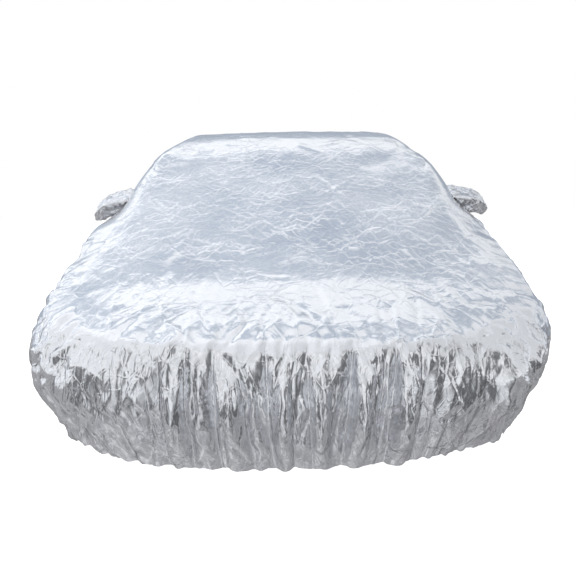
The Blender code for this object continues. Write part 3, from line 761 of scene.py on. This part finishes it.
patches = nodes.node("ShaderNodeTexNoise", {}, {"Vector": where, "Scale": 2.6, "Detail": 2.0})
blotches = nodes.node("ShaderNodeTexNoise", {}, {"Vector": where, "Scale": 5.0, "Detail": 2.0})
clusters = CLUSTERING * blotches * blotches
Relief = namedtuple("Relief", "form scale smooth coarse amount", defaults=(1.0,))
RELIEFS = (  # smooth: height where the cloth is drawn tight; coarse: how much is added where it isn't
    Relief(pillows, scale=8.0, smooth=0.0004, coarse=0.0016, amount=patches),
    Relief(pillows, scale=21.0, smooth=0.0003, coarse=0.0012, amount=blotches),
    Relief(pillows, scale=52.0, smooth=0.0003, coarse=0.0, amount=patches),
    Relief(creases, scale=6.0, smooth=0.0007, coarse=0.0020, amount=clusters),
    Relief(creases, scale=14.0, smooth=0.0006, coarse=0.0014, amount=clusters),
    Relief(creases, scale=31.0, smooth=0.00035, coarse=0.0007, amount=clusters),
    Relief(hairs, scale=7.0, smooth=0.0003, coarse=0.0006),
    Relief(hairs, scale=17.0, smooth=0.0002, coarse=0.0),
    Relief(streaks, scale=15.0, smooth=0.0, coarse=0.0006),
    Relief(facets, scale=13.0, smooth=0.02, coarse=0.28),  # a tilt, so times the size of a cell
    Relief(facets, scale=34.0, smooth=0.02, coarse=0.28, amount=patches),
)
coarse_here = nodes.node("ShaderNodeAttribute", {"attribute_name": "coarse"}, out=2)
fine_relief = sum(
    (row.smooth + row.coarse * coarse_here) * row.form(row.scale) * row.amount for row in RELIEFS
)
bump = nodes.node("ShaderNodeBump", {}, {"Height": fine_relief, "Strength": 1.0, "Distance": 1.0})
tone = nodes.node(
    "ShaderNodeMix",
    {"data_type": "RGBA"},
    {"Factor": patches, 6: (*SILVER_WORN, 1), 7: (*SILVER, 1)},
    out=2,
)
roughness = SMOOTHEST + ROUGHER_IN_PATCHES * patches
silver_cloth.node_tree.links.new(tone.socket, shader.inputs["Base Color"])
silver_cloth.node_tree.links.new(roughness.socket, shader.inputs["Roughness"])
silver_cloth.node_tree.links.new(bump.socket, shader.inputs["Normal"])
shader.inputs["Metallic"].default_value = METALLIC
cover_mesh.materials.append(silver_cloth)

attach(cover, "root")
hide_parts("cover_body")

# ---------------------------------------------------------------------------------------------------------
# Mirror pockets.  Each is a little bag of the same cloth, sewn round a hole in the sheet at a door mirror.
# It is puckered along its seam, and crumpled and slack over the mirror.

PUCKERS = 17
PUCKER_DEPTH = 0.006
PUCKER_REACH = 0.05  # how far from the seam the puckers run out
HELD_AT_SEAM = 0.008  # the seam itself stays where it is
RIM_EDGE = 0.003  # the solid's rim is as wide as its cloth is thick
ROOT_DEPTH = 0.05  # part of the bag whose mean is taken as its root
TIP_DEPTH = 0.02
SAME_PLACE = 1e-5
FINER = 3  # cuts in each edge of the solid's mesh
BAG_CRUMPLES = 150
BAG_CRUMPLE_LENGTH = (0.02, 0.09)
BAG_CRUMPLE_WIDTH = (0.005, 0.016)
BAG_CRUMPLE_HEIGHT = (0.0012, 0.0050)
BAG_SEED = 40

for number, name in enumerate(("mirror_pocket_left", "mirror_pocket_right")):
    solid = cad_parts[name]
    bag = bmesh.new()
    bag.from_mesh(solid.data)
    bag.transform(solid.matrix_world)
    bmesh.ops.remove_doubles(bag, verts=bag.verts, dist=SAME_PLACE)
    bag.normal_update()
    spots = np.array([vertex.co for vertex in bag.verts])
    off_middle = np.abs(spots[:, 0])
    root = Vector(spots[off_middle < off_middle.min() + ROOT_DEPTH].mean(0))
    tip = Vector(spots[off_middle > off_middle.max() - TIP_DEPTH].mean(0))
    axis = (tip - root).normalized()
    rim = []
    for face in bag.faces:
        near_root = (face.calc_center_median() - root).dot(axis) < (tip - root).length / 2
        if near_root and min(edge.calc_length() for edge in face.edges) < RIM_EDGE:
            rim.append(face)
    bmesh.ops.delete(bag, geom=rim, context="FACES")
    outer = {max(bag.verts, key=lambda vertex: abs(vertex.co.x))}  # without the rim, only the outer skin
    fresh = list(outer)
    while fresh:
        around = {edge.other_vert(vertex) for vertex in fresh for edge in vertex.link_edges}
        fresh = around - outer
        outer |= fresh
    bmesh.ops.delete(bag, geom=[vertex for vertex in bag.verts if vertex not in outer], context="VERTS")
    bmesh.ops.subdivide_edges(bag, edges=bag.edges, cuts=FINER, use_grid_fill=True, smooth=0.6)
    bag.normal_update()

    spots = np.array([vertex.co for vertex in bag.verts])
    outward = np.array([vertex.normal for vertex in bag.verts])
    seam = np.array([vertex.co for vertex in bag.verts if vertex.is_boundary])
    from_seam = np.min(np.linalg.norm(spots[:, None] - seam[None], axis=-1), axis=1)
    round_bag = np.arctan2(spots[:, 2] - root.z, spots[:, 1] - root.y)
    free = smooth_step(0.0, HELD_AT_SEAM, from_seam)
    pleats = np.abs(np.sin(PUCKERS * round_bag / 2))
    push = -PUCKER_DEPTH * pleats * (1 - smooth_step(0.0, PUCKER_REACH, from_seam))
    chance = np.random.RandomState(BAG_SEED + number)
    for _ in range(BAG_CRUMPLES):
        pick = chance.randint(len(spots))
        run = np.cross(outward[pick], chance.normal(size=3))
        run = run / np.linalg.norm(run)
        off = spots - spots[pick]
        share = 2 * off @ run / chance.uniform(*BAG_CRUMPLE_LENGTH)
        aside = np.abs(off @ np.cross(outward[pick], run)) / chance.uniform(*BAG_CRUMPLE_WIDTH)
        ridge = np.clip(1 - aside, 0, 1) * np.clip(1 - share**2, 0, 1)
        same_side = (outward @ outward[pick]) > 0
        push = push + chance.choice((-1, 1)) * chance.uniform(*BAG_CRUMPLE_HEIGHT) * ridge * same_side
    for vertex, place in zip(bag.verts, spots + outward * (push * free)[:, None]):
        vertex.co = place
    bag_mesh = bpy.data.meshes.new(name + "_cloth")
    bag.to_mesh(bag_mesh)
    bag.free()
    bag_mesh.shade_smooth()
    coarseness = [1.0] * len(bag_mesh.vertices)
    bag_mesh.attributes.new("coarse", "FLOAT", "POINT").data.foreach_set("value", coarseness)
    bag_mesh.materials.append(silver_cloth)
    piece = bpy.data.objects.new(name + "_cloth", bag_mesh)
    bpy.context.collection.objects.link(piece)
    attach(piece, "root")
    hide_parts(name)

# ---------------------------------------------------------------------------------------------------------
# Studio: a plain pale floor just under the hem, a dome whose light varies by angle, one soft lamp, and the
# camera in front.  The silver cloth shows the dome as a mirror would, so the dome's bands give the cover its
# pale roof edge, bluish windscreen, white bonnet and grey front.  The camera itself sees plain white there.

FLOOR_GAP = 0.004
floor_bm = bmesh.new()
bmesh.ops.create_grid(floor_bm, x_segments=1, y_segments=1, size=40)
bmesh.ops.translate(floor_bm, verts=floor_bm.verts, vec=(0, 0, cad_box[0][2] - FLOOR_GAP))
floor_mesh = bpy.data.meshes.new("floor")
floor_bm.to_mesh(floor_mesh)
floor_bm.free()
floor = bpy.data.objects.new("floor", floor_mesh)
bpy.context.collection.objects.link(floor)
floor.visible_glossy = False
floor.visible_diffuse = False
pale = bpy.data.materials.new("pale_floor")
pale.use_nodes = True
pale_shader = pale.node_tree.nodes["Principled BSDF"]
pale_shader.inputs["Base Color"].default_value = (0.8, 0.8, 0.8, 1)
pale_shader.inputs["Roughness"].default_value = 1.0
pale_shader.inputs["Specular IOR Level"].default_value = 0.0
pale_shader.inputs["Emission Color"].default_value = (1, 1, 1, 1)
pale_shader.inputs["Emission Strength"].default_value = 1.0
floor_mesh.materials.append(pale)

BANDS = (  # share of a turn, from the horizon behind over the top to the front and down; colour
    (0.000, (0.44, 0.49, 0.56)),
    (0.072, (0.37, 0.43, 0.52)),
    (0.087, (1.05, 1.08, 1.13)),
    (0.110, (1.43, 1.44, 1.46)),
    (0.1145, (0.34, 0.43, 0.56)),
    (0.127, (0.31, 0.40, 0.53)),
    (0.135, (1.16, 1.18, 1.21)),
    (0.200, (0.92, 0.94, 0.97)),
    (0.300, (0.89, 0.91, 0.94)),
    (0.360, (1.10, 1.11, 1.12)),
    (0.420, (1.08, 1.09, 1.11)),
    (0.480, (0.84, 0.86, 0.89)),
    (0.560, (0.67, 0.68, 0.70)),
    (0.605, (0.80, 0.81, 0.83)),
    (0.645, (0.46, 0.46, 0.48)),
    (0.690, (0.70, 0.70, 0.72)),
    (0.735, (0.38, 0.38, 0.39)),
    (0.790, (0.64, 0.64, 0.65)),
    (0.860, (0.38, 0.38, 0.39)),
)
BANDS_BEND = 0.10  # share of a turn by which the bands move on at the far left and right
FRONT_BEGINS = (-0.45, -0.05)  # backwards part of a direction, from the front's light to the rest's
QUIET_ABOVE = (0.0, 0.30)  # upward part of a direction, over which the rest's light loses its unevenness
UNEVENNESS = 1.4  # of the things round the car that the cloth mirrors
UNEVEN_EVERYWHERE = 0.30
DARKER_RIGHT = 0.22  # in front, how much darker the light is on the right, and by its square on both sides
DARKER_ASIDE = 1.45
DARKEST = 0.15
RIGHT_DIMMED = 0.60  # four times the share that is lost halfway to the right, away from the front
RIGHT_DIMMED_IN_FRONT = 0.15

world = bpy.data.worlds.new("studio")
world.use_nodes = True
bpy.context.scene.world = world
air = Wire(world.node_tree)
way = air.node("ShaderNodeTexCoord")
rightwards, backwards, height = (
    air.node("ShaderNodeSeparateXYZ", {}, {0: way}, out=axis) for axis in range(3)
)


def ease(value, low, high):
    """Grows smoothly from 0 to 1 as the value goes from low to high."""
    return air.node(
        "ShaderNodeMapRange",
        {"interpolation_type": "SMOOTHSTEP"},
        {"Value": value, "From Min": low, "From Max": high},
    )


round_over = air.math("ARCTAN2", height, backwards) / (2 * math.pi)  # 0 behind, 0.25 above, 0.5 in front
turned = round_over + air.math("LESS_THAN", round_over, 0.0)
bands = air.node(
    "ShaderNodeValToRGB", {"stops": BANDS}, {0: turned + BANDS_BEND * rightwards * rightwards}
)
things = air.node("ShaderNodeTexNoise", {}, {"Vector": way, "Scale": 3.2, "Detail": 3.0, "Roughness": 0.6})
in_front = 1 - ease(backwards, *FRONT_BEGINS)
busy = 1 - ease(height, *QUIET_ABOVE) * (1 - in_front)
uneven = UNEVENNESS * (busy + UNEVEN_EVERYWHERE) * (things - 0.5)
darker = in_front * rightwards * (DARKER_RIGHT + DARKER_ASIDE * rightwards)
contrast = air.math("MAXIMUM", 1 - darker + uneven, DARKEST)
halfway_right = rightwards * (1 - air.math("ABSOLUTE", rightwards, 0.0))
dimmed = RIGHT_DIMMED + (RIGHT_DIMMED_IN_FRONT - RIGHT_DIMMED) * in_front
brightness = (1 - dimmed * halfway_right) * contrast
sky_dome = air.node("ShaderNodeVectorMath", {"operation": "SCALE"}, {0: bands, "Scale": brightness})
seen_by_camera = air.node("ShaderNodeLightPath")
shown = air.node(
    "ShaderNodeMix", {"data_type": "RGBA"}, {"Factor": seen_by_camera, 6: sky_dome, 7: (1, 1, 1, 1)}, out=2
)
world.node_tree.links.new(shown.socket, world.node_tree.nodes["Background"].inputs["Color"])

SOFTBOX_SIZE = 5
SOFTBOX_PLACE = Vector((-4.0, -3.0, 6.0))
SOFTBOX_TARGET = Vector((0, -0.5, -0.8))
lamp = bpy.data.lights.new("softbox", "AREA")
lamp.size = SOFTBOX_SIZE
lamp.energy = 25
softbox = bpy.data.objects.new("softbox", lamp)
softbox.location = SOFTBOX_PLACE
softbox.rotation_euler = (SOFTBOX_TARGET - SOFTBOX_PLACE).to_track_quat("-Z", "Y").to_euler()
softbox.visible_glossy = False
bpy.context.collection.objects.link(softbox)

PITCH = math.radians(6.03)  # downwards
YAW = math.radians(-0.54)
ROLL = math.radians(-0.7)
ahead = Vector((math.sin(YAW) * math.cos(PITCH), math.cos(YAW) * math.cos(PITCH), -math.sin(PITCH)))
level_right = Vector((math.cos(YAW), -math.sin(YAW), 0))
upward = level_right.cross(ahead)
right = math.cos(ROLL) * level_right + math.sin(ROLL) * upward
top = -math.sin(ROLL) * level_right + math.cos(ROLL) * upward
camera = bpy.data.objects.new("camera", bpy.data.cameras.new("camera"))
camera.data.sensor_width = 36
camera.data.lens = 50
turn = Matrix((right, top, -ahead)).transposed().to_4x4()
camera.matrix_world = Matrix.Translation(VIEWED_FROM) @ turn
bpy.context.collection.objects.link(camera)
bpy.context.scene.camera = camera
bpy.context.scene.view_settings.view_transform = "Standard"
